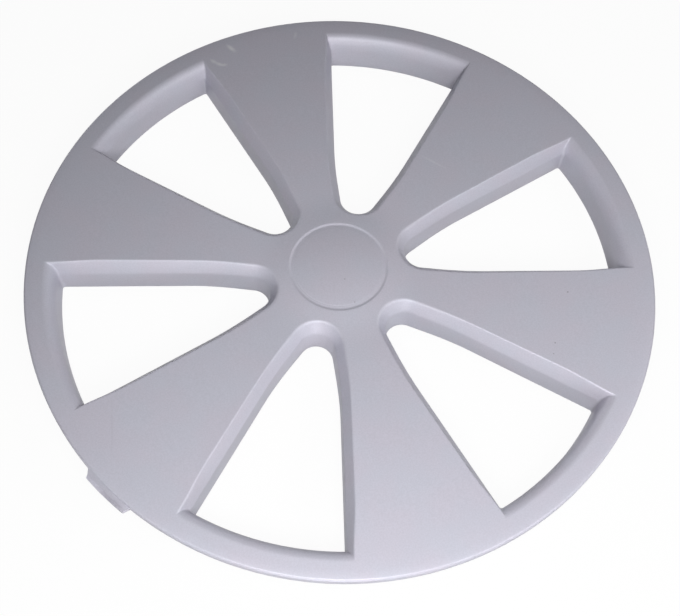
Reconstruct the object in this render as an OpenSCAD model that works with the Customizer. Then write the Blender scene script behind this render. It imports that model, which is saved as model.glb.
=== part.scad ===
// Clip-on wheel cover with six windows, lying face up on the tips of its legs.
// Origin: on the wheel's axis, level with the tips of the legs. +Z points out of the face.

/* [Cover] */
// Outer diameter of the cover
cover_d = 380; // [360:1:470]
// Height of the outer edge above the tips of the legs
edge_h = 31; // [28:0.5:40]
// Thickness of the face
face_t = 2.5; // [1.8:0.1:3.2]
// Thickness of the window walls and of the skirt
wall_t = 2.4; // [1.6:0.1:3]
// Depth of the skirt at the outer edge, below the edge's widest line
skirt_h = 4.5; // [3:0.5:8]
// Radius of the rounded outer edge
edge_r = 1.6; // [0.8:0.1:2.2]
// How far the face around the hub lies below the face of the rim
hub_drop = 1.8; // [0:0.1:4]
// Width of the low cone around the centre disc
cone_w = 12; // [6:0.5:20]
// Height of the low cone around the centre disc
cone_h = 0.8; // [0.2:0.1:2]

/* [Centre disc] */
// Diameter of the domed disc, out to its groove
disc_d = 56; // [44:1:60]
// Height of the disc's middle above the inner edge of the cone
disc_rise = 1; // [0.4:0.1:2]
// How much the dome falls from its middle to its shoulder
dome_sag = 0.7; // [0.2:0.1:1.5]
// Radius of the disc's shoulder
shoulder_r = 1.5; // [0.8:0.1:2.4]
// Width of the groove around the disc
groove_w = 2; // [1.2:0.1:3]
// Depth of the groove below the inner edge of the cone
groove_depth = 1.3; // [0.8:0.1:1.8]

/* [Windows] */
// Number of windows, and of spokes
window_count = 6; // [5:1:7]
// Direction of the first window
window_turn = 75.9; // [0:0.1:90]
// Angle between the two straight sides of a window
window_angle = 30.2; // [24:0.1:36]
// From the cover's edge to the outer wall of a window
rim_w = 17.9; // [16:0.1:24]
// Depth of the window walls below the outer edge's widest line
window_depth = 24.5; // [18:0.5:27]
// Radius of the plain face around the hub, out to the first point of a window
hub_land_r = 38.6; // [36:0.1:48]
// Radius of a window's rounded inner end
tip_r = 11.8; // [9:0.1:14.5]
// Angle of each flank between the rounded end and the straight side
flank_angle = 21; // [19:0.1:26]
// Draft of the window walls
draft = 1.5; // [0.5:0.1:3]
// Width of the bevel along the straight sides
side_bevel_w = 5.6; // [3:0.1:7]
// Width of the bevel around the rounded end
tip_bevel_w = 4.2; // [2:0.1:6]
// Height of the bevels
bevel_h = 7.2; // [4:0.1:9]
// Radius of the roll where the rim turns into a window
rim_roll_r = 4.8; // [3:0.1:6]

/* [Clip legs] */
// Number of legs behind each spoke
legs_per_spoke = 2; // [1:1:3]
// Angle from one leg to the next behind a spoke
leg_pitch = 15; // [6:0.5:16]
// Width of a leg along the rim
leg_w = 14; // [8:0.5:18]
// Thickness of a leg
leg_t = 3; // [2:0.1:4]
// Thickness of a leg at its tip
leg_tip_t = 1.5; // [1:0.1:2]
// How far a leg's nose stands out towards the wheel
nose_w = 1.4; // [0.6:0.1:2.5]
// How far a leg's hook reaches in under the wire
hook_w = 3; // [2:0.1:3.4]
// Thickness of the hook
hook_t = 2; // [1.4:0.1:3]
// How far the ridge above the wire stands out
ridge_w = 1; // [0.5:0.1:1.6]
// Height of the top of the hook above the tip of the leg
hook_h = 10; // [7:0.5:13]

/* [Wire ring] */
// Diameter of the spring wire
wire_d = 3.2; // [2.5:0.1:4]
// Gap between the wire and the faces of a leg
wire_gap = 0.3; // [0.2:0.05:0.5]
// Room between the outer walls of the windows and the wire
wire_room = 0.8; // [0.6:0.1:1.2]

/* [Ribs behind the face] */
// Thickness of the ribs
rib_t = 1.8; // [1.2:0.1:2.5]
// Depth of the ribs below the face
rib_h = 7; // [3:0.5:12]
// Radius of the ring rib behind the centre disc
ring_rib_r = 33; // [31:0.5:36]

/* [Edge tab] */
// Direction of the tab
tab_turn = 227.3; // [0:0.1:360]
// Length of the tab along the edge, at its root
tab_l = 38; // [20:1:60]
// How far the tab stands out from the edge
tab_out = 4.2; // [2:0.1:6]
// Thickness of the tab
tab_t = 2.4; // [1.6:0.1:3]
// Slope of the tab's two ends
tab_end_angle = 50; // [30:1:70]

/* [Hidden] */
$fn = 120;
eps = 0.01;
far = 40;

cover_r = cover_d / 2;
spoke_step = 360 / window_count;

// Heights of the face, measured from the widest line of the outer edge
rim_face_z = edge_r;
hub_face_z = rim_face_z - hub_drop;
cone_top_z = hub_face_z + cone_h;
groove_z = cone_top_z - groove_depth;
inside_face_z = groove_z - face_t / 2;
disc_top_z = cone_top_z + disc_rise;
shoulder_z = disc_top_z - dome_sag;

// Radii of the face
disc_r = disc_d / 2;
groove_r = disc_r + groove_w;
cone_r = groove_r + cone_w;
dome_r = disc_r - shoulder_r;
dome_ball_r = (dome_r * dome_r + dome_sag * dome_sag) / (2 * dome_sag);
window_r = cover_r - rim_w;
rim_face_r = window_r + rim_roll_r;
tip_centre = hub_land_r + tip_bevel_w + tip_r;

// Places of the legs and the wire
wire_r = window_r + wall_t + wire_room + wire_d / 2;
leg_ri = wire_r + wire_d / 2 + wire_gap;
leg_ro = leg_ri + leg_t;
wire_z = hook_h + wire_gap + wire_d / 2;
ridge_z = wire_z + wire_d / 2 + wire_gap;
leg_angle = 2 * asin(leg_w / 2 / leg_ro);

// Lifts a shape whose heights are measured from the widest line of the outer edge
module at_edge() {
    translate([0, 0, edge_h]) children();
}

// Section of the front: the domed disc, its groove, the cone, the spokes' face and the edge
module front_outline() {
    difference() {
        polygon([
            [0, -skirt_h], [0, shoulder_z], [disc_r, shoulder_z], [disc_r, groove_z],
            [groove_r, groove_z], [groove_r, cone_top_z], [cone_r, hub_face_z],
            [rim_face_r, rim_face_z], [cover_r, rim_face_z], [cover_r, -skirt_h]
        ]);
        rounding(disc_r, shoulder_z, shoulder_r);
        rounding(cover_r, edge_r, edge_r);
    }
    intersection() {
        translate([0, disc_top_z - dome_ball_r]) circle(dome_ball_r);
        translate([0, shoulder_z - eps]) square([dome_r, dome_sag + eps]);
    }
}

// What comes off an upper outer corner at (x, y) to round it
module rounding(x, y, r) {
    translate([x - r, y - r])
        difference() {
            square(r + eps);
            circle(r);
        }
}

// Section of the space behind the face, inside the skirt
module back_outline() {
    polygon([
        [0, -far], [0, shoulder_z - face_t], [disc_r - face_t, shoulder_z - face_t],
        [disc_r - face_t, groove_z - face_t], [groove_r + face_t, groove_z - face_t],
        [cone_r, hub_face_z - face_t], [rim_face_r, rim_face_z - face_t],
        [cover_r - wall_t, rim_face_z - face_t], [cover_r - wall_t, -far]
    ]);
}

module face() {
    rotate_extrude()
        difference() {
            front_outline();
            back_outline();
        }
}

// Room below the middle of the face's thickness, which the walls and ribs fill
module below_face() {
    translate([0, 0, -window_depth]) cylinder(h = window_depth + inside_face_z, r = leg_ro);
}

// Section of a window wall: [distance into the window, height] from the bottom up
function wall_section(bevel_w, grow) = [
    [(window_depth + far) * tan(draft) - grow, -window_depth - far],
    [bevel_h * tan(draft) - grow, -bevel_h],
    [-(bevel_w * (bevel_h + far) / bevel_h) - grow, far]
];

// Everything on the window's side of a straight wall along X, the window towards -Y
module beside_wall(bevel_w, grow) {
    section = wall_section(bevel_w, grow);
    outline = concat(
        [for (p = section) [-p[0], p[1]]],
        [[-2 * cover_r, far], [-2 * cover_r, -window_depth - far]]
    );
    translate([-cover_r, 0, 0])
        rotate([90, 0, 90])
            linear_extrude(3 * cover_r) polygon(outline);
}

// Both straight sides, which meet on the wheel's axis
module between_sides(grow) {
    intersection() {
        rotate([0, 0, window_angle / 2]) beside_wall(side_bevel_w, grow);
        mirror([0, 1, 0]) rotate([0, 0, window_angle / 2]) beside_wall(side_bevel_w, grow);
    }
}

// A flank, tangent to the rounded end
module flank(grow) {
    translate([tip_centre, 0, 0])
        rotate([0, 0, flank_angle])
            translate([0, tip_r, 0]) beside_wall(tip_bevel_w, grow);
}

// Everything behind the line through the end's centre, square to a flank
module behind_flank() {
    translate([tip_centre, 0, 0])
        rotate([0, 0, flank_angle])
            translate([-2 * cover_r, -cover_r, -far - window_depth])
                cube([2 * cover_r, 2 * cover_r, 2 * far + window_depth]);
}

// The rounded inner end, as a turned shape
module rounded_end(grow) {
    section = wall_section(tip_bevel_w, grow);
    outline = concat(
        [for (p = section) [tip_r - p[0], p[1]]],
        [[0, far], [0, -window_depth - far]]
    );
    translate([tip_centre, 0, 0]) rotate_extrude() polygon(outline);
}

// Inside of the window's outer wall, as a turned shape
module inside_rim(grow) {
    low = -window_depth - far;
    wall_r = window_r + grow;
    roll_z = rim_face_z - rim_roll_r;
    rotate_extrude()
        difference() {
            polygon([
                [0, low], [wall_r + low * tan(draft), low], [wall_r + roll_z * tan(draft), roll_z],
                [wall_r, roll_z], [wall_r + rim_roll_r, roll_z],
                [wall_r + rim_roll_r, far], [0, far]
            ]);
            translate([wall_r + rim_roll_r, roll_z]) circle(rim_roll_r);
        }
}

// Everything between the two flanks, beyond the rounded end
module between_flanks(grow) {
    difference() {
        intersection() {
            flank(grow);
            mirror([0, 1, 0]) flank(grow);
        }
        intersection() {
            behind_flank();
            mirror([0, 1, 0]) behind_flank();
        }
    }
}

// One window as a solid, pointing along +X, grown sideways by the given amount
module window_space(grow) {
    intersection() {
        inside_rim(grow);
        union() {
            rounded_end(grow);
            intersection() {
                between_sides(grow);
                between_flanks(grow);
            }
        }
    }
}

module each_window() {
    for (i = [0 : window_count - 1])
        rotate([0, 0, i * spoke_step]) children();
}

module each_spoke() {
    for (i = [0 : window_count - 1])
        rotate([0, 0, (i + 0.5) * spoke_step]) children();
}

// One leg as a turned slice, with its hook below the wire and its ridge above it
module leg() {
    top = edge_h + edge_r - face_t / 2;
    slope = 2;
    rotate([0, 0, -leg_angle / 2])
        rotate_extrude(angle = leg_angle)
            polygon([
                [leg_ro - leg_tip_t, 0], [leg_ro, 0], [leg_ro, hook_h - hook_t],
                [leg_ro + nose_w, hook_h], [leg_ro + nose_w, wire_z],
                [leg_ro, wire_z + slope * nose_w], [leg_ro, top], [leg_ri, top],
                [leg_ri, ridge_z + slope * ridge_w], [leg_ri - ridge_w, ridge_z + ridge_w],
                [leg_ri - ridge_w, ridge_z], [leg_ri, ridge_z], [leg_ri, hook_h],
                [leg_ri - hook_w, hook_h], [leg_ri - hook_w, hook_h - hook_t]
            ]);
}

module legs() {
    first = -(legs_per_spoke - 1) * leg_pitch / 2;
    each_spoke()
        for (i = [0 : legs_per_spoke - 1])
            rotate([0, 0, first + i * leg_pitch]) leg();
}

// A rib behind each spoke, and a ring rib behind the centre disc
module ribs() {
    bottom = hub_face_z - face_t - rib_h;
    each_spoke()
        translate([ring_rib_r, -rib_t / 2, bottom])
            cube([window_r - ring_rib_r, rib_t, inside_face_z - bottom]);
    translate([0, 0, bottom])
        rotate_extrude()
            translate([ring_rib_r - rib_t / 2, 0])
                square([rib_t, inside_face_z - bottom]);
}

// Tab at the outer edge: a flat tongue with two sloping ends
module tab() {
    root = cover_r - wall_t / 2;
    slope = tab_out / tan(tab_end_angle);
    rotate([0, 0, tab_turn - window_turn])
        translate([0, 0, -skirt_h])
            linear_extrude(tab_t)
                intersection() {
                    difference() {
                        circle(cover_r + tab_out);
                        circle(root);
                    }
                    polygon([
                        [root - tab_out, -tab_l / 2], [cover_r - tab_out / 2, -tab_l / 2],
                        [cover_r + tab_out, -tab_l / 2 + slope],
                        [cover_r + tab_out, tab_l / 2 - slope],
                        [cover_r - tab_out / 2, tab_l / 2], [root - tab_out, tab_l / 2]
                    ]);
                }
}

// The moulding with its first window along +X
module moulding() {
    at_edge() {
        difference() {
            union() {
                face();
                intersection() {
                    below_face();
                    union() {
                        each_window() window_space(wall_t);
                        ribs();
                    }
                }
            }
            each_window() window_space(0);
        }
        tab();
    }
    legs();
}

module cover() {
    color([0.64, 0.63, 0.67]) rotate([0, 0, window_turn]) moulding();
}

module wire_ring() {
    color([0.45, 0.46, 0.48])
        translate([0, 0, wire_z])
            rotate_extrude() translate([wire_r, 0]) circle(wire_d / 2);
}

cover();
wire_ring();
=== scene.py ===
import math

import bmesh
import bpy
import numpy as np
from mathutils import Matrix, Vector


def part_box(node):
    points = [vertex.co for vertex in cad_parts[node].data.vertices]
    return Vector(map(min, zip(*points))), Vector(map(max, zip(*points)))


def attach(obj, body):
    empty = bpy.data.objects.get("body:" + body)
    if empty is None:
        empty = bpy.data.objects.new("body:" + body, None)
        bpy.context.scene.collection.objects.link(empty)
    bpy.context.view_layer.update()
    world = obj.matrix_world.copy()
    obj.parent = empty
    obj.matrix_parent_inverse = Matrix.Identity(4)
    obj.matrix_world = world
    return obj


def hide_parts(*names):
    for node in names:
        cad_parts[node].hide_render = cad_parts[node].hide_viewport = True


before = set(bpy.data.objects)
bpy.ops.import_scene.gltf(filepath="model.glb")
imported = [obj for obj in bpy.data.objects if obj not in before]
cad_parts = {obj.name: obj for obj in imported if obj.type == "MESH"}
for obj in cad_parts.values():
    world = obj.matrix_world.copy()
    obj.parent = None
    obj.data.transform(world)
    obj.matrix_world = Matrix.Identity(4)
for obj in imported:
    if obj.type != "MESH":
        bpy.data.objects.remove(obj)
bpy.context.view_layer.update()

# Sizes are in millimetres and angles in degrees, in the moulding's own frame: the first window
# points along +X, and heights are measured from the widest line of the cover's outer edge.
MM = 0.001
cover_low, cover_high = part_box("cover")
wire_low, wire_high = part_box("wire_ring")

EDGE_R = 1.6
COVER_R = cover_high.x / MM
EDGE_Z = cover_high.z / MM - EDGE_R
FACE_T = 2.5
WALL_T = 2.4
SKIRT_H = 4.5

# The hub: a low cone, the groove, the shoulder that falls to it and the domed disc
HUB_FACE_Z = -1.6
CONE_R = 45
CONE_SLOPE = 0.11
GROOVE_R = 30.2
GROOVE_EDGE_R = 2
GROOVE_FLOOR_R = 28.8
GROOVE_FLOOR_Z = -0.52
GROOVE_BEND_R = 2
SHOULDER_CORNER_R = 26.4
SHOULDER_CORNER_Z = -0.08
SHOULDER_BEND_R = 12
DISC_TOP_Z = 1.58
DOME_R = 25.6
DOME_SAG = 1.56

# A fine crease in the shoulder, a little off the disc's centre and deepest on one side
CREASE_R = 27.0
CREASE_SHIFT = 0.35
CREASE_W = 0.24
CREASE_DEPTH = 0.07
CREASE_TURN = 195

WINDOWS = 6
WINDOW_TURN = 75.9
WINDOW_ANGLE = 30.2
WINDOW_R = COVER_R - 17.9
WINDOW_DEPTH = 24.5
TIP_CENTRE = 54.6
TIP_R = 11.8
FLANK_ANGLE = 21
FLANK_BEND_R = 300
DRAFT = 1.5
TIP_DRAFT = 4
SIDE_BEVEL_W = 4.6
TIP_BEVEL_W = 4.2
CORNER_BEVEL_W = 2.8
TAPER_START = 145
BEVEL_H = 8.3
RIM_ROLL_W = 7.2
RIM_ROLL_H = 9

# Small roundings of the moulding, as the photograph's highlights show them
SIDE_EDGE_R, SIDE_FOOT_R = 1.2, 3
TIP_EDGE_R, TIP_FOOT_R = 2.4, 6
RIM_EDGE_R = 1.6
CORNER_R = 0.6
CORNER_BACK_R = 1.5
FOOT_R = 0.6

# The face's grid runs between these two circles, and turned profiles close it on both sides
HUB_SEAM_R = 34.6
RIM_SEAM_R = 184.0

# Behind the face: ribs, and the clip legs whose hooks hold the wire ring
RIB_T = 1.8
RIB_BOTTOM_Z = -FACE_T - 7.2
RING_RIB_R = 33
WIRE_D = (wire_high.z - wire_low.z) / MM
WIRE_RING_R = wire_high.x / MM - WIRE_D / 2
WIRE_Z = (wire_high.z + wire_low.z) / 2 / MM - EDGE_Z
WIRE_GAP = 0.3
LEG_IN_R = WIRE_RING_R + WIRE_D / 2 + WIRE_GAP
LEG_OUT_R = LEG_IN_R + 3
LEG_TIP_Z = -EDGE_Z
LEG_W = 14
LEG_PITCH = 15

# The edge tab: its top slopes steeply away from the skirt at one end, and is level at the other
TAB_TURN = 227.4
TAB_L = 33.8
TAB_OUT = 4.2
TAB_END_ANGLE = 64.5
TAB_DEEP, TAB_SHALLOW = 4.3, 0.6
TAB_LIP_W = 1.9

# What the paint bears, in world millimetres: middle X and Y, turn from the X axis, half length,
# half width and strength. First pale painted reflections of sink marks over the clips and a pale scratch,
# then dark nibs of dust and a faint line.
PAINTED_GLINTS_AND_SCRATCH = [(-70.4, 165.1, -43, 5.4, 2.0, 0.75), (-81.8, 154.0, -33, 3.6, 1.8, 0.55),
          (-77.9, 151.8, -24, 3.2, 1.8, 0.6), (-74.6, 151.3, 11, 2.8, 1.7, 0.5),
          (-27.2, 176.7, 79, 4.0, 1.5, 0.3), (61.4, 76.0, -33, 12.0, 1.0, 0.2)]
DUST = [(137.0, -17.1, 0, 0.6, 0.6, 1.0), (47.0, 21.0, 0, 0.6, 0.6, 0.9),
        (-67.1, 111.0, 0, 0.6, 0.6, 1.0), (3.6, -9.6, 0, 0.5, 0.5, 0.8),
        (126.1, -50.5, 0, 0.6, 0.6, 0.9), (124.5, -57.5, 0, 0.5, 0.5, 0.8),
        (9.4, -24.4, 0, 0.5, 0.5, 0.7), (-128.8, -106.0, -85, 22.0, 0.9, 0.07)]
MARK_H = 20


def turned(points, degrees):
    """The points turned about the axis: x cos a - y sin a, x sin a + y cos a."""
    angle = math.radians(degrees)
    x, y, z = points[..., 0], points[..., 1], points[..., 2]
    return np.stack([x * math.cos(angle) - y * math.sin(angle),
                     x * math.sin(angle) + y * math.cos(angle), z], axis=-1)


def rounded(points, radii, steps=8):
    """A line of straight pieces with each inner corner made an arc.

    An arc of radius r starts r tan(t / 2) before a corner that turns by t, and its points are the
    centre plus r times the unit vector that sweeps the turn in equal steps.
    """
    points = np.asarray(points, float)
    line = [points[0]]
    for before, corner, after, radius in zip(points, points[1:], points[2:], radii):
        way_in = (corner - before) / np.linalg.norm(corner - before)
        way_out = (after - corner) / np.linalg.norm(after - corner)
        turn = math.atan2(way_in[0] * way_out[1] - way_in[1] * way_out[0], way_in @ way_out)
        if radius == 0 or abs(turn) < 1e-6:
            line.append(corner)
            continue
        side = math.copysign(1, turn)
        start = corner - way_in * radius * math.tan(abs(turn) / 2)
        centre = start + side * radius * np.array([-way_in[1], way_in[0]])
        sweep = np.linspace(0, turn, steps + 1)
        arm = start - centre
        line.extend(centre + np.stack([arm[0] * np.cos(sweep) - arm[1] * np.sin(sweep),
                                       arm[0] * np.sin(sweep) + arm[1] * np.cos(sweep)], axis=-1))
    line.append(points[-1])
    return np.array(line)


def rounded_loop(points, radius, steps=3):
    """A closed outline with every corner made an arc of one radius."""
    points = np.asarray(points, float)
    around = np.concatenate([points[-1:], points, points[:1]])
    return rounded(around, [radius] * len(points), steps)[1:-1]


def grid_faces(rows, columns, closed):
    """Four corners of each cell of a grid of points; a closed grid joins its last column to its first."""
    row, column = np.meshgrid(np.arange(rows - 1), np.arange(columns if closed else columns - 1),
                              indexing="ij")
    following = (column + 1) % columns
    return np.stack([row * columns + column, row * columns + following,
                     (row + 1) * columns + following, (row + 1) * columns + column],
                    axis=-1).reshape(-1, 4)


class Shell:
    """Collects grids of points in millimetres, with how much paint each row got, as one mesh."""

    def __init__(self):
        self.points = []
        self.paint = []
        self.faces = []
        self.count = 0

    def add_grid(self, points, paint=0.0, closed=True):
        """A grid of points; the paint is one number, or one for each row."""
        rows, columns = points.shape[:2]
        self.faces.extend((grid_faces(rows, columns, closed) + self.count).tolist())
        self.points.append(points.reshape(-1, 3))
        self.paint.append(np.repeat(np.broadcast_to(paint, rows), columns))
        self.count += rows * columns

    def add_bar(self, loops, paint=0.0):
        """Closed loops of points one behind another, joined by faces and closed at both ends."""
        first = self.count
        self.add_grid(loops, paint)
        size = loops.shape[1]
        self.faces.append(list(range(first, first + size)))
        self.faces.append(list(range(self.count - size, self.count)))

    def bmesh(self, turn=0.0, merge=0.002):
        """The grids as one mesh in metres, with doubles merged and normals outward."""
        points = turned(np.concatenate(self.points), turn) + np.array([0, 0, EDGE_Z])
        mesh = bpy.data.meshes.new("shell")
        mesh.from_pydata((points * MM).tolist(), [], self.faces)
        sprayed = mesh.attributes.new("paint", "FLOAT", "POINT")
        sprayed.data.foreach_set("value", np.concatenate(self.paint))
        made = bmesh.new()
        made.from_mesh(mesh)
        bpy.data.meshes.remove(mesh)
        bmesh.ops.remove_doubles(made, verts=made.verts, dist=merge * MM)
        bmesh.ops.recalc_face_normals(made, faces=made.faces)
        return made


def face_line():
    """Front of the face in section, from the hub's seam outwards: nearly straight, with soft bends."""
    start = GROOVE_R - 4
    return rounded([[start, HUB_FACE_Z + CONE_SLOPE * (CONE_R - start)], [CONE_R, HUB_FACE_Z],
                    [WINDOW_R + RIM_ROLL_W, EDGE_R], [COVER_R, EDGE_R]], [120, 400])


FACE_LINE = face_line()


def face_height(radius):
    """Height of the painted face at a radius, along its section line."""
    return np.interp(radius, FACE_LINE[:, 0], FACE_LINE[:, 1])


def wall_line(bevel_w, draft, edge_r, foot_r):
    """Section of a window's side: offset into the window against depth below the face.

    A horizontal face, a straight bevel and a wall with draft, with both corners rounded.
    """
    slope = math.tan(math.radians(draft))
    line = rounded([[-40, 0], [-bevel_w, 0], [BEVEL_H * slope, BEVEL_H],
                    [WINDOW_DEPTH * slope, WINDOW_DEPTH]], [edge_r, foot_r])
    return line[1:]


SIDE_LINE = wall_line(SIDE_BEVEL_W, DRAFT, SIDE_EDGE_R, SIDE_FOOT_R)
TIP_LINE = wall_line(TIP_BEVEL_W, TIP_DRAFT, TIP_EDGE_R, TIP_FOOT_R)
CORNER_LINE = wall_line(CORNER_BEVEL_W, DRAFT, SIDE_EDGE_R, SIDE_FOOT_R)


def wall_offset(line, depth):
    """How far a wall stands into the window at a depth below the face."""
    return np.interp(depth, line[:, 1], line[:, 0])


def rim_radius(depth):
    """Radius of the window's outer wall: a quarter ellipse from the face, then a wall with draft.

    Down to its height the roll adds its width times (1 - sqrt(1 - (share left)^2)).
    """
    left = 1 - np.clip(depth / RIM_ROLL_H, 0, 1)
    roll = RIM_ROLL_W * (1 - np.sqrt(1 - left ** 2))
    return WINDOW_R + roll - depth * math.tan(math.radians(DRAFT))


def smooth(share):
    """A smooth step of a share: 3 s^2 - 2 s^3, kept between 0 and 1."""
    share = np.clip(share, 0, 1)
    return share * share * (3 - 2 * share)


# Points along half of a window's outline: rounded end, straight flank, bend, side, corner, rim
TIP_STEPS, FLANK_STEPS, BEND_STEPS, SIDE_STEPS, CORNER_STEPS, RIM_STEPS = 14, 4, 8, 20, 4, 14


def heading(degrees):
    """Unit vector into the window, square to a side that heads this many degrees from the X axis."""
    angle = np.radians(degrees)
    return np.stack([np.sin(angle), -np.cos(angle)], axis=-1)


def inner_path():
    """The plain outline from the middle of the rounded end to where the side runs straight.

    Returns its points, the unit vectors into the window and each point's share of the side's
    bevel: 0 along the rounded end, then rising smoothly to 1 where the bend ends.
    """
    half = WINDOW_ANGLE / 2
    turn = np.linspace(90, FLANK_ANGLE, TIP_STEPS + 1)
    into = heading(turn)
    tip = np.array([TIP_CENTRE, 0]) - TIP_R * into
    flank_start, flank_into = tip[-1], into[-1]
    closing = math.radians(FLANK_ANGLE - half)
    to_side = flank_start @ heading(half)
    flank_l = (to_side - FLANK_BEND_R * (1 - math.cos(closing))) / math.sin(closing)
    along = np.array([math.cos(math.radians(FLANK_ANGLE)), math.sin(math.radians(FLANK_ANGLE))])
    steps = np.linspace(0, flank_l, FLANK_STEPS + 1)[1:, None]
    flank = flank_start + steps * along
    bend_turn = np.linspace(FLANK_ANGLE, half, BEND_STEPS + 1)[1:]
    bend_into = heading(bend_turn)
    bend = flank[-1] + FLANK_BEND_R * (flank_into - bend_into)
    points = np.concatenate([tip, flank, bend])
    into = np.concatenate([into, np.repeat(flank_into[None], FLANK_STEPS, 0), bend_into])
    length = np.concatenate([[0], np.cumsum(np.linalg.norm(np.diff(points, axis=0), axis=1))])
    before = length[TIP_STEPS // 2]
    return points, into, smooth((length - before) / (length[-1] - before))


def outlines(depth, grow):
    """One window's outline at each depth, grown outwards: an array of depths by points by 2.

    The path's points are moved along their vectors by the wall's offset. The side then runs out,
    its bevel narrowing by a smooth step, to a small arc that touches both the side's line and the
    rim's circle, and the rim follows its circle to the window's middle. The other half mirrors
    this one.
    """
    depth = np.asarray(depth, float)[:, None]
    grow = np.broadcast_to(np.asarray(grow, float).reshape(-1, 1), depth.shape)
    path, into, share = inner_path()
    offset = (1 - share) * wall_offset(TIP_LINE, depth) + share * wall_offset(SIDE_LINE, depth) - grow
    inner = path + offset[..., None] * into
    side_into = heading(WINDOW_ANGLE / 2)
    side_along = np.array([-side_into[1], side_into[0]])
    side_offset = wall_offset(SIDE_LINE, depth) - grow
    end_offset = wall_offset(CORNER_LINE, depth) - grow
    rim_r = rim_radius(depth) + grow
    corner_r = np.interp(depth, [0, BEVEL_H], [CORNER_R, CORNER_BACK_R]) + grow
    reach = np.sqrt((rim_r - corner_r) ** 2 - (end_offset + corner_r) ** 2)
    centre = reach * side_along + (end_offset + corner_r) * side_into
    start = centre - corner_r * side_into
    end = centre * rim_r / (rim_r - corner_r)
    steps = np.linspace(0, 1, SIDE_STEPS + 1)[1:]
    inner_reach = inner[:, -1:] @ side_along
    along = inner_reach + (1.6 * steps - 0.6 * steps ** 2) * (reach - inner_reach)
    taper = smooth((along - TAPER_START) / (reach - TAPER_START))
    side_offset = side_offset + taper * (end_offset - side_offset)
    side = along[..., None] * side_along + side_offset[..., None] * side_into
    arm_start = np.arctan2(*(start - centre).T[::-1])
    arm_end = np.arctan2(*(end - centre).T[::-1])
    sweep = arm_start[:, None] + np.linspace(0, 1, CORNER_STEPS + 1)[1:] * (arm_end - arm_start)[:, None]
    corner = centre[:, None] + corner_r[..., None] * np.stack([np.cos(sweep), np.sin(sweep)], axis=-1)
    rim_start = np.arctan2(end[:, 1], end[:, 0])
    rim_turn = rim_start[:, None] * np.linspace(1, 0, RIM_STEPS + 1)[1:]
    rim = rim_r[..., None] * np.stack([np.cos(rim_turn), np.sin(rim_turn)], axis=-1)
    half = np.concatenate([inner, side, corner, rim], axis=1)
    mirrored = half[:, 1:-1][:, ::-1] * np.array([1, -1])
    return np.concatenate([half, mirrored], axis=1)


def sector_edge(outline):
    """Where each point of an outline's face meets the edge of its sixth of the cover.

    The rounded end maps to the hub's seam circle, the side to the middle line of the spoke and
    the rim to the rim's seam circle, each by its share of the length, with a least step.
    """
    half_count = len(outline) // 2 + 1
    half = outline[:half_count]
    step = np.maximum(np.linalg.norm(np.diff(half, axis=0), axis=1), 1.5)
    length = np.concatenate([[0], np.cumsum(step)])
    tip_end = TIP_STEPS
    corner = half_count - 1 - RIM_STEPS - CORNER_STEPS // 2
    spoke = math.pi / WINDOWS
    share = length[:tip_end + 1] / length[tip_end]
    hub = HUB_SEAM_R * np.stack([np.cos(share * spoke), np.sin(share * spoke)], axis=-1)
    share = (length[tip_end + 1:corner + 1] - length[tip_end]) / (length[corner] - length[tip_end])
    reach = HUB_SEAM_R + share * (RIM_SEAM_R - HUB_SEAM_R)
    middle = reach[:, None] * np.array([math.cos(spoke), math.sin(spoke)])
    share = (length[corner + 1:] - length[corner]) / (length[-1] - length[corner])
    turn = (1 - share) * spoke
    rim = RIM_SEAM_R * np.stack([np.cos(turn), np.sin(turn)], axis=-1)
    half = np.concatenate([hub, middle, rim])
    return np.concatenate([half, half[1:-1][::-1] * np.array([1, -1])])


def face_rings(outline, edge, drop):
    """Rings of the face from the sector's edge to a window's outline, all at the face's height.

    The ring nearest the window lies a fixed small step from it, so that the flat face stays flat
    up to its rounded edge.
    """
    gap = edge - outline
    distance = np.linalg.norm(gap, axis=1, keepdims=True)
    near = outline + gap / distance * 0.5
    steps = np.array([1, 0.8, 0.6, 0.42, 0.28, 0.16, 0.07, 0])[:, None, None]
    rings = near + steps * (edge - near)
    height = face_height(np.hypot(rings[..., 0], rings[..., 1])) - drop
    return np.concatenate([rings, height[..., None]], axis=-1)


def wall_rings(depth, grow):
    """A window's wall: its outline at each depth, lifted by the face's own height near the top."""
    outline = outlines(depth, grow)
    radius = np.hypot(outline[..., 0], outline[..., 1])
    depth = np.asarray(depth, float)[:, None]
    lift = face_height(radius) * np.clip(1 - depth / BEVEL_H, 0, 1)
    return np.concatenate([outline, (lift - depth)[..., None]], axis=-1)


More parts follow.
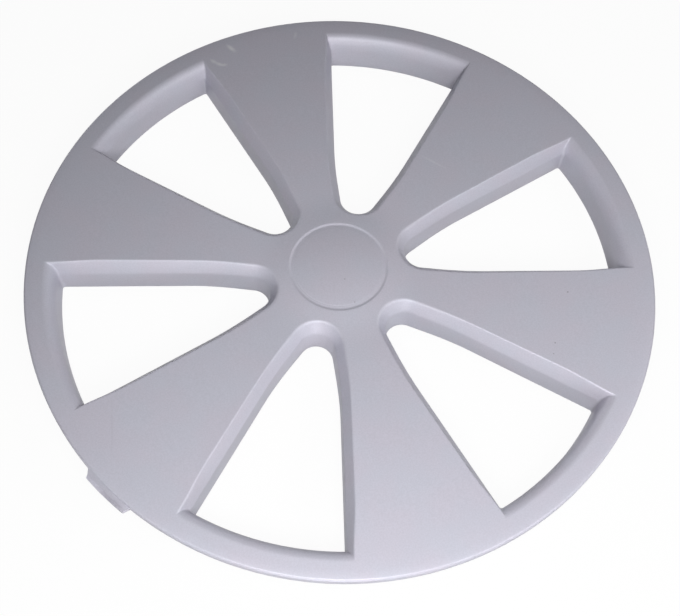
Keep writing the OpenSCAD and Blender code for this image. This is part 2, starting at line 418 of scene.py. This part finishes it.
def window_sector():
    """One sixth of the moulding as one closed grid, and the paint on each of its rings.

    Its rings run from the sector's edge over the face, down the wall in the window, round the
    wall's foot, up its back and out again under the face. The spray reaches the wall's foot.
    """
    roll = RIM_ROLL_H * (1 - np.cos(np.linspace(0, math.pi / 2, 21)))
    foot_blend = np.linspace(RIM_ROLL_H, 12.4, 8)[1:]
    wall = np.linspace(14, WINDOW_DEPTH - FOOT_R, 4)
    inner = np.concatenate([roll, foot_blend, wall])
    sweep = np.linspace(0, math.pi / 2, 4)[1:]
    foot = WINDOW_DEPTH - FOOT_R * (1 - np.sin(sweep))
    foot_in = FOOT_R * (1 - np.cos(sweep))
    back = np.array([WINDOW_DEPTH - FOOT_R, 19, 14, 11.6, 9.9, 8.3, 6.8, 5.2, 3.8, FACE_T])
    depth = np.concatenate([inner, foot, foot[::-1], back])
    grow = np.concatenate([0 * inner, foot_in, WALL_T - foot_in[::-1], 0 * back + WALL_T])
    walls = wall_rings(depth, grow)
    edge = sector_edge(walls[0, :, :2])
    front = face_rings(walls[0, :, :2], edge, 0)
    under = face_rings(walls[-1, :, :2], edge, FACE_T)[::-1]
    paint = np.concatenate([np.ones(len(front) + len(inner)), np.linspace(0.9, 0.4, 2 * len(foot)),
                            np.linspace(0.15, 0, len(back)), np.zeros(len(under))])
    return np.concatenate([front, walls, under]), paint


def lathe(section, angles):
    """A section of radius and height turned about the axis, one row for each point of it."""
    section = np.asarray(section, float)
    angles = np.asarray(angles)
    return np.stack([section[:, :1] * np.cos(angles), section[:, :1] * np.sin(angles),
                     np.repeat(section[:, 1:], len(angles), 1)], axis=-1)


def seam_angles(points, radius):
    """Angles of the points of a sector's edge that lie on a seam circle, repeated for each sector."""
    on_circle = np.abs(np.hypot(points[:, 0], points[:, 1]) - radius) < 1e-6
    one = np.sort(np.arctan2(points[on_circle, 1], points[on_circle, 0]))[:-1]
    return np.concatenate([one + i * 2 * math.pi / WINDOWS for i in range(WINDOWS)])


def disc_front(angles):
    """Front of the hub from the seam inwards: the cone, the groove, the shoulder and the dome.

    The dome is a cap of a sphere of radius (r^2 + sag^2) / (2 sag). A fine crease runs round the
    shoulder: its depth is a bell curve of the distance from its circle, times (1 + cos) / 2 of
    the angle from its deepest side, and the circle's radius is less its shift times cos.
    """
    ball_r = (DOME_R ** 2 + DOME_SAG ** 2) / (2 * DOME_SAG)
    reach = np.linspace(DOME_R, 0, 12)
    dome = np.stack([reach, DISC_TOP_Z - ball_r + np.sqrt(ball_r ** 2 - reach ** 2)], axis=-1)
    edge = rounded([[HUB_SEAM_R, float(face_height(HUB_SEAM_R))],
                    [GROOVE_R, float(face_height(GROOVE_R))],
                    [GROOVE_FLOOR_R, GROOVE_FLOOR_Z], [SHOULDER_CORNER_R, SHOULDER_CORNER_Z],
                    dome[0]], [GROOVE_EDGE_R, GROOVE_BEND_R, SHOULDER_BEND_R], 10)
    section = np.concatenate([edge[:-1], dome])
    extra_r = CREASE_R + np.linspace(-1, 1, 21)
    extra = np.stack([extra_r, np.interp(extra_r, section[::-1, 0], section[::-1, 1])], axis=-1)
    section = np.concatenate([section, extra])
    section = section[np.argsort(-section[:, 0], kind="stable")]
    grid = lathe(section, angles)
    world_angles = np.asarray(angles) + math.radians(WINDOW_TURN)
    crease_r = CREASE_R - CREASE_SHIFT * np.cos(world_angles)
    bell = np.exp(-((section[:, :1] - crease_r) / CREASE_W) ** 2)
    lean = 0.5 + 0.5 * np.cos(world_angles - math.radians(CREASE_TURN))
    grid[..., 2] -= CREASE_DEPTH * bell * lean
    return grid


def hub_back_section():
    """Back of the hub from the middle outwards, with the ring rib."""
    rib_in, rib_out = RING_RIB_R - RIB_T / 2, RING_RIB_R + RIB_T / 2
    disc_back_z, step_back_z = 0.9 - FACE_T, -0.7 - FACE_T
    return rounded([[0, disc_back_z], [25.5, disc_back_z], [25.5, step_back_z],
                    [rib_in, step_back_z], [rib_in, RIB_BOTTOM_Z], [rib_out, RIB_BOTTOM_Z],
                    [rib_out, float(face_height(rib_out)) - FACE_T],
                    [HUB_SEAM_R, float(face_height(HUB_SEAM_R)) - FACE_T]],
                   [0.8, 0.5, 0.5, 0.3, 0.3, 0], 3)


def rim_section():
    """The outer edge from the front's seam round the skirt to the back's seam, with its paint."""
    inside = COVER_R - WALL_T
    section = rounded([[RIM_SEAM_R, EDGE_R], [COVER_R, EDGE_R], [COVER_R, -SKIRT_H],
                       [inside, -SKIRT_H], [inside, EDGE_R - FACE_T], [RIM_SEAM_R, EDGE_R - FACE_T]],
                      [RIM_EDGE_R, 0.5, 0.5, 0.4], 6)
    radius, height = section.T
    behind = (radius <= inside + 0.1) & (height < 0)
    paint = np.where(behind, 0, np.clip(0.5 + (height + SKIRT_H), 0, 1))
    return section, paint


def rib_loops(start_r, end_r):
    """A rib along +X: its section's loop of points at stations along it.

    The foot flares against the face's back in two small steps, as a moulded rib's root does, and
    follows the back's height; the free edge is level.
    """
    radius = np.linspace(start_r, end_r, 16)
    half = RIB_T / 2
    side = np.array([half + 0.9, half + 0.25, half, half - 0.1, half - 0.4])
    above = np.array([0.5, -0.5, -1.1, np.nan, np.nan])
    level = np.array([np.nan, np.nan, np.nan, RIB_BOTTOM_Z + 0.3, RIB_BOTTOM_Z])
    back = (face_height(radius) - FACE_T)[:, None]
    height = np.where(np.isnan(above), level, back + above)
    width = np.concatenate([side, -side[::-1]])
    heights = np.concatenate([height, height[:, ::-1]], axis=1)
    return np.stack(np.broadcast_arrays(radius[:, None], width, heights), axis=-1)


def leg_loops():
    """One clip leg about +X: its section turned about the wheel's axis over the leg's width.

    Outside is the nose that snaps behind the rim; inside, the hook below the wire and the ridge
    above it.
    """
    nose, hook, ridge, tip_t = 1.4, 3, 1, 1.5
    hook_z = WIRE_Z - WIRE_D / 2 - WIRE_GAP
    ridge_z = WIRE_Z + WIRE_D / 2 + WIRE_GAP
    top = EDGE_R - FACE_T / 2
    outline = rounded_loop([
        [LEG_OUT_R - tip_t, LEG_TIP_Z], [LEG_OUT_R, LEG_TIP_Z], [LEG_OUT_R, hook_z - 2],
        [LEG_OUT_R + nose, hook_z], [LEG_OUT_R + nose, WIRE_Z], [LEG_OUT_R, WIRE_Z + 2 * nose],
        [LEG_OUT_R, top], [LEG_IN_R, top], [LEG_IN_R, ridge_z + 2 * ridge],
        [LEG_IN_R - ridge, ridge_z + ridge], [LEG_IN_R - ridge, ridge_z], [LEG_IN_R, ridge_z],
        [LEG_IN_R, hook_z], [LEG_IN_R - hook, hook_z], [LEG_IN_R - hook, hook_z - 2]], 0.25)
    half = math.asin(LEG_W / 2 / LEG_OUT_R)
    return np.swapaxes(lathe(outline, np.linspace(-half, half, 7)), 0, 1)


def tab_loops():
    """The edge tab about +X: its section carried along the edge between two sloping ends.

    The top slopes from near the skirt's own top to a narrow level lip. The lip is deep at the
    first end and rises towards the other, by a smooth step of the place along it. At radius r the
    tab reaches to its half length less (r - edge) / tan(end angle).
    """
    out = COVER_R + TAB_OUT
    along = np.linspace(-1, 1, 29)
    depths = TAB_DEEP + smooth((along + 0.25) / 1.25) * (TAB_SHALLOW - TAB_DEEP)
    loops = []
    for place, deep in zip(along, depths):
        section = rounded([[COVER_R - WALL_T / 2, 0], [COVER_R - 0.1, -0.3 * TAB_SHALLOW],
                           [out - TAB_LIP_W, -deep], [out, -deep], [out, -SKIRT_H],
                           [COVER_R - WALL_T / 2, -SKIRT_H]], [0.5, 1.0, 0.3, 0.1], 5)
        radius, height = section.T
        half_l = TAB_L / 2 - np.maximum(radius - COVER_R, 0) / math.tan(math.radians(TAB_END_ANGLE))
        angle = place * half_l / radius
        loops.append(np.stack([radius * np.cos(angle), radius * np.sin(angle), height], axis=-1))
    return np.array(loops)


def cover_mesh():
    """The whole moulding's skin: six sectors, the hub, the edge, and the parts behind the face."""
    shell = Shell()
    sector, paint = window_sector()
    sixth = 360 / WINDOWS
    for i in range(WINDOWS):
        shell.add_grid(turned(sector, i * sixth), paint)
    edge = sector[0]
    hub_turns = seam_angles(edge, HUB_SEAM_R)
    shell.add_grid(disc_front(hub_turns), 1.0)
    shell.add_grid(lathe(hub_back_section(), hub_turns))
    section, paint = rim_section()
    shell.add_grid(lathe(section, seam_angles(edge, RIM_SEAM_R)), paint)
    for i in range(WINDOWS):
        spoke = (i + 0.5) * sixth
        shell.add_bar(turned(rib_loops(RING_RIB_R, WINDOW_R), spoke))
        for side in (-0.5, 0.5):
            shell.add_bar(turned(leg_loops(), spoke + side * LEG_PITCH))
    shell.add_bar(turned(tab_loops(), TAB_TURN - WINDOW_TURN), 1.0)
    return shell.bmesh(WINDOW_TURN)


def wire_mesh():
    """The spring ring: the wire's circle carried round the wheel's axis, with a butt weld.

    The weld is a bead: the wire's radius grows by a bell curve of the distance along the ring.
    """
    around = np.linspace(0, 2 * math.pi, 24, endpoint=False)
    weld = np.linspace(-4, 4, 17) / WIRE_RING_R
    rest = np.linspace(weld[-1], 2 * math.pi + weld[0], 342)[1:-1]
    angles = np.concatenate([weld, rest])[:, None]
    along = (angles + math.pi) % (2 * math.pi) - math.pi
    radius = WIRE_D / 2 + 0.16 * np.exp(-(along * WIRE_RING_R / 0.9) ** 2)
    reach = WIRE_RING_R + radius * np.cos(around)
    points = np.stack([reach * np.cos(angles), reach * np.sin(angles),
                       WIRE_Z + radius * np.sin(around)], axis=-1)
    shell = Shell()
    shell.add_grid(np.concatenate([points, points[:1]]))
    return shell.bmesh(WINDOW_TURN)


def make_object(name, made):
    """A new object of a finished bmesh, smooth but for edges sharper than 35 degrees."""
    mesh = bpy.data.meshes.new(name)
    made.to_mesh(mesh)
    made.free()
    mesh.polygons.foreach_set("use_smooth", np.ones(len(mesh.polygons), bool))
    mesh.set_sharp_from_angle(angle=math.radians(35))
    piece = bpy.data.objects.new(name, mesh)
    bpy.context.scene.collection.objects.link(piece)
    return piece


def linear(hex_colour):
    """An sRGB hex colour as linear red, green, blue and 1."""
    parts = [int(hex_colour[i:i + 2], 16) / 255 for i in (1, 3, 5)]
    return tuple(c / 12.92 if c <= 0.04045 else ((c + 0.055) / 1.055) ** 2.4 for c in parts) + (1.0,)


def add_node(tree, kind, settings=None, inputs=None):
    """Adds a node, sets its properties and its inputs, and links an input that is given a socket."""
    node = tree.nodes.new(kind)
    for name, value in (settings or {}).items():
        setattr(node, name, value)
    for name, value in (inputs or {}).items():
        if isinstance(value, bpy.types.NodeSocket):
            tree.links.new(value, node.inputs[name])
        else:
            node.inputs[name].default_value = value
    return node


def new_material(name):
    """An empty node material and its tree."""
    material = bpy.data.materials.new(name)
    material.use_nodes = True
    material.node_tree.nodes.clear()
    return material, material.node_tree


def mark_field(tree, place, marks):
    """Sum of soft ellipses on the face, each falling from its strength at the middle to 0.

    Inside a mark the field is its strength times one less the distance from its middle, where
    the distance is counted in its half sizes.
    """
    total = 0.0
    for x, y, turn, half_l, half_w, strength in marks:
        local = add_node(tree, "ShaderNodeMapping", {"vector_type": "TEXTURE"}, {
            "Vector": place, "Location": (x * MM, y * MM, EDGE_Z * MM),
            "Rotation": (0, 0, math.radians(turn)),
            "Scale": (half_l * MM, half_w * MM, MARK_H * MM)})
        mark = add_node(tree, "ShaderNodeTexGradient", {"gradient_type": "SPHERICAL"}, {
            "Vector": local.outputs[0]})
        total = add_node(tree, "ShaderNodeMath", {"operation": "MULTIPLY_ADD"}, {
            0: mark.outputs["Fac"], 1: strength, 2: total}).outputs[0]
    return total


def silver_paint():
    """Silver lacquer sprayed on moulded ABS, with the bare grey plastic behind.

    Aluminium flakes in a satin binder: pale, with a broad soft sheen, faint clouds of warmer and
    cooler silver, a fine flake grain and a slight orange peel. The spray thins out at the walls'
    feet, and behind them the dark grey ABS shows, matt as the mould left it.
    """
    flake_mm, peel_mm, cloud_mm, sheen_mm, spray_mm = 0.9, 1.8, 24, 7, 1.3
    peel_height_mm = 0.003
    paint_metallic, bare_roughness = 0.12, 0.6
    material, tree = new_material("silver_lacquer_on_abs")
    place = add_node(tree, "ShaderNodeTexCoord").outputs["Object"]
    cloud = add_node(tree, "ShaderNodeTexNoise", inputs={
        "Vector": place, "Scale": 1 / (cloud_mm * MM), "Detail": 2.0})
    warmth = add_node(tree, "ShaderNodeMapRange", inputs={
        0: cloud.outputs[0], 1: 0.35, 2: 0.65})
    silver = add_node(tree, "ShaderNodeMix", {"data_type": "RGBA"}, {
        0: warmth.outputs[0], 6: linear("#C8C5D1"), 7: linear("#C6C6D2")})
    # A flake is some 0.03 mm across; its glitter is drawn coarser, or no pixel would show it
    flakes = add_node(tree, "ShaderNodeTexNoise", inputs={
        "Vector": place, "Scale": 1 / (flake_mm * MM), "Detail": 1.0})
    glitter = add_node(tree, "ShaderNodeMapRange", inputs={
        0: flakes.outputs[0], 1: 0.3, 2: 0.7, 3: 0.965, 4: 1.035})
    silver = add_node(tree, "ShaderNodeHueSaturation", inputs={
        "Color": silver.outputs[2], "Value": glitter.outputs[0]})
    # Pale painted reflections of the sink marks over the clips, and a pale scratch, mixed into the paint's
    # colour
    glinted_and_scratched = add_node(tree, "ShaderNodeMix", {"data_type": "RGBA"}, {
        0: mark_field(tree, place, PAINTED_GLINTS_AND_SCRATCH), 6: silver.outputs[0], 7: linear("#F2F2F4")})
    dusty = add_node(tree, "ShaderNodeMix", {"data_type": "RGBA"}, {
        0: mark_field(tree, place, DUST), 6: glinted_and_scratched.outputs[2], 7: linear("#67656B")})
    sprayed = add_node(tree, "ShaderNodeAttribute", {"attribute_name": "paint"})
    droplets = add_node(tree, "ShaderNodeTexNoise", inputs={
        "Vector": place, "Scale": 1 / (spray_mm * MM), "Detail": 3.0})
    reach = add_node(tree, "ShaderNodeMath", {"operation": "ADD"}, {
        0: sprayed.outputs["Fac"], 1: droplets.outputs[0]})
    cover = add_node(tree, "ShaderNodeMapRange", {"interpolation_type": "SMOOTHSTEP"}, {
        0: reach.outputs[0], 1: 0.55, 2: 1.15})
    colour = add_node(tree, "ShaderNodeMix", {"data_type": "RGBA"}, {
        0: cover.outputs[0], 6: linear("#6E6F73"), 7: dusty.outputs[2]})
    metallic = add_node(tree, "ShaderNodeMath", {"operation": "MULTIPLY"}, {
        0: cover.outputs[0], 1: paint_metallic})
    haze = add_node(tree, "ShaderNodeTexNoise", inputs={
        "Vector": place, "Scale": 1 / (sheen_mm * MM), "Detail": 2.0})
    satin = add_node(tree, "ShaderNodeMapRange", inputs={
        0: haze.outputs[0], 1: 0.3, 2: 0.7, 3: 0.425, 4: 0.475})
    roughness = add_node(tree, "ShaderNodeMix", inputs={
        0: cover.outputs[0], 2: bare_roughness, 3: satin.outputs[0]})
    peel = add_node(tree, "ShaderNodeTexNoise", inputs={
        "Vector": place, "Scale": 1 / (peel_mm * MM), "Detail": 1.0})
    skin = add_node(tree, "ShaderNodeBump", inputs={
        "Height": peel.outputs[0], "Distance": peel_height_mm * MM})
    shader = add_node(tree, "ShaderNodeBsdfPrincipled", inputs={
        "Base Color": colour.outputs[2], "Metallic": metallic.outputs[0],
        "Roughness": roughness.outputs[0], "Specular IOR Level": 0.25,
        "Normal": skin.outputs[0]})
    add_node(tree, "ShaderNodeOutputMaterial", inputs={"Surface": shader.outputs["BSDF"]})
    return material


def zinc_wire():
    """Spring steel wire, cold drawn and zinc plated.

    Bright grey metal whose fine grain runs along the wire, from the drawing die, under patches
    where the plating is duller. Across the wire the grain's coordinates are the distance from the
    ring's circle and the height; along it they hardly change.
    """
    grain_mm, patch_mm, stretch = 0.25, 9, 1 / 40
    groove_height_mm = 0.004
    material, tree = new_material("zinc_plated_spring_wire")
    place = add_node(tree, "ShaderNodeTexCoord").outputs["Object"]
    axes = add_node(tree, "ShaderNodeSeparateXYZ", inputs={0: place})
    level = add_node(tree, "ShaderNodeCombineXYZ", inputs={0: axes.outputs[0], 1: axes.outputs[1]})
    reach = add_node(tree, "ShaderNodeVectorMath", {"operation": "LENGTH"}, {0: level.outputs[0]})
    across = add_node(tree, "ShaderNodeCombineXYZ", inputs={
        0: reach.outputs["Value"], 1: axes.outputs[2]})
    drawn = add_node(tree, "ShaderNodeVectorMath", {"operation": "MULTIPLY_ADD"}, {
        0: level.outputs[0], 1: (stretch, stretch, stretch), 2: across.outputs[0]})
    grain = add_node(tree, "ShaderNodeTexNoise", inputs={
        "Vector": drawn.outputs[0], "Scale": 1 / (grain_mm * MM), "Detail": 2.0})
    patches = add_node(tree, "ShaderNodeTexNoise", inputs={
        "Vector": place, "Scale": 1 / (patch_mm * MM), "Detail": 3.0})
    dull = add_node(tree, "ShaderNodeMapRange", inputs={
        0: patches.outputs[0], 1: 0.4, 2: 0.65})
    zinc = add_node(tree, "ShaderNodeMix", {"data_type": "RGBA"}, {
        0: dull.outputs[0], 6: linear("#BDBFC2"), 7: linear("#A9ABAC")})
    streaks = add_node(tree, "ShaderNodeMapRange", inputs={
        0: grain.outputs[0], 1: 0.3, 2: 0.7, 3: 0.88, 4: 1.08})
    colour = add_node(tree, "ShaderNodeHueSaturation", inputs={
        "Color": zinc.outputs[2], "Value": streaks.outputs[0]})
    roughness = add_node(tree, "ShaderNodeMapRange", inputs={
        0: patches.outputs[0], 1: 0.35, 2: 0.7, 3: 0.28, 4: 0.46})
    grooves = add_node(tree, "ShaderNodeBump", inputs={
        "Height": grain.outputs[0], "Distance": groove_height_mm * MM})
    shader = add_node(tree, "ShaderNodeBsdfPrincipled", inputs={
        "Base Color": colour.outputs[0], "Metallic": 1.0, "Roughness": roughness.outputs[0],
        "Normal": grooves.outputs[0]})
    add_node(tree, "ShaderNodeOutputMaterial", inputs={"Surface": shader.outputs["BSDF"]})
    return material


def white_floor():
    """Matt board: white with a faint shadow to the eye and in reflections, grey in the light it throws."""
    material, tree = new_material("white_board")
    path = add_node(tree, "ShaderNodeLightPath")
    seen = add_node(tree, "ShaderNodeMath", {"operation": "MAXIMUM"}, {
        0: path.outputs["Is Camera Ray"], 1: path.outputs["Is Glossy Ray"]})
    seen = add_node(tree, "ShaderNodeMath", {"operation": "MAXIMUM"}, {
        0: seen.outputs[0], 1: path.outputs["Is Transmission Ray"]})
    board = add_node(tree, "ShaderNodeMix", {"data_type": "RGBA"}, {
        0: seen.outputs[0], 6: linear("#949494"), 7: linear("#F4F4F4")})
    lit = add_node(tree, "ShaderNodeBsdfDiffuse", inputs={"Color": board.outputs[2]})
    glow = add_node(tree, "ShaderNodeEmission", inputs={"Color": (1, 1, 1, 1), "Strength": 1.0})
    share = add_node(tree, "ShaderNodeMath", {"operation": "MULTIPLY"}, {0: seen.outputs[0], 1: 0.95})
    mixed = add_node(tree, "ShaderNodeMixShader", inputs={
        0: share.outputs[0], 1: lit.outputs[0], 2: glow.outputs[0]})
    add_node(tree, "ShaderNodeOutputMaterial", inputs={"Surface": mixed.outputs[0]})
    return material


def make_floor(material):
    """A broad round floor under the cover's legs, whose edge sweeps up into a plain backdrop."""
    reach, wall_h, sweep_r = 6.0, 1.5, 1.0
    section = rounded([[0, 0], [reach, 0], [reach, wall_h]], [sweep_r], 12)
    points = lathe(section, np.linspace(0, 2 * math.pi, 96, endpoint=False))
    mesh = bpy.data.meshes.new("floor")
    mesh.from_pydata(points.reshape(-1, 3).tolist(), [], grid_faces(*points.shape[:2], True).tolist())
    mesh.polygons.foreach_set("use_smooth", np.ones(len(mesh.polygons), bool))
    mesh.materials.append(material)
    floor = bpy.data.objects.new("floor", mesh)
    bpy.context.scene.collection.objects.link(floor)


def soft_box(name, place, size, level):
    """A round soft box that faces the cover's middle. Its power grows with its distance squared."""
    box = bpy.data.lights.new(name, "AREA")
    box.shape = "DISK"
    box.size = size
    holder = bpy.data.objects.new(name, box)
    holder.location = place
    aim = Vector((0, 0, cover_high.z)) - holder.location
    box.energy = 10 * level * aim.length ** 2
    holder.rotation_euler = aim.to_track_quat("-Z", "Y").to_euler()
    bpy.context.scene.collection.objects.link(holder)


def studio_light():
    """A plain white room and six soft boxes, the strongest on the viewer's side."""
    world = bpy.data.worlds.new("studio")
    bpy.context.scene.world = world
    world.use_nodes = True
    tree = world.node_tree
    tree.nodes.clear()
    sky = add_node(tree, "ShaderNodeBackground", inputs={"Color": linear("#E6ECFF"), "Strength": 0.01})
    add_node(tree, "ShaderNodeOutputWorld", inputs={"Surface": sky.outputs[0]})
    soft_box("below_viewer", (0, -0.35, 0.45), 0.3, 0.79)
    soft_box("right", (0.45, -0.35, 0.45), 0.3, 0.21)
    soft_box("far_right", (0.45, 0.1, 0.45), 0.3, 0.095)
    soft_box("front_low", (0, -1.0, 0.12), 0.3, 0.225)
    soft_box("left_low", (-0.6, -1.0, 0.12), 0.3, 0.02)
    soft_box("far_left_low", (-0.7, 1.0, 0.2), 0.4, 0.11)


def make_camera():
    """The photograph's viewpoint, solved from the cover's outer edge and the windows' corners."""
    focal_px, image_w, image_h = 1093.08, 680, 616
    centre_x_px, centre_y_px = 291.3, 295.26
    camera = bpy.data.cameras.new("camera")
    camera.sensor_width = 36
    camera.lens = focal_px * camera.sensor_width / image_w
    camera.shift_x = (image_w / 2 - centre_x_px) / image_w
    camera.shift_y = (centre_y_px - image_h / 2) / image_w
    camera.clip_start = 0.01
    holder = bpy.data.objects.new("camera", camera)
    holder.location = (-0.02567, -0.31452, 0.58443 + EDGE_Z * MM)
    holder.rotation_euler = [math.radians(a) for a in (26.7362, 0.0689, 0.4186)]
    bpy.context.scene.collection.objects.link(holder)
    bpy.context.scene.camera = holder


bpy.context.scene.view_settings.view_transform = "Standard"
make_camera()
studio_light()
make_floor(white_floor())

cover = make_object("cover_moulding", cover_mesh())
cover.data.materials.append(silver_paint())
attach(cover, "root")
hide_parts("cover")

ring = make_object("spring_wire_ring", wire_mesh())
ring.data.materials.append(zinc_wire())
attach(ring, "root")
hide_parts("wire_ring")
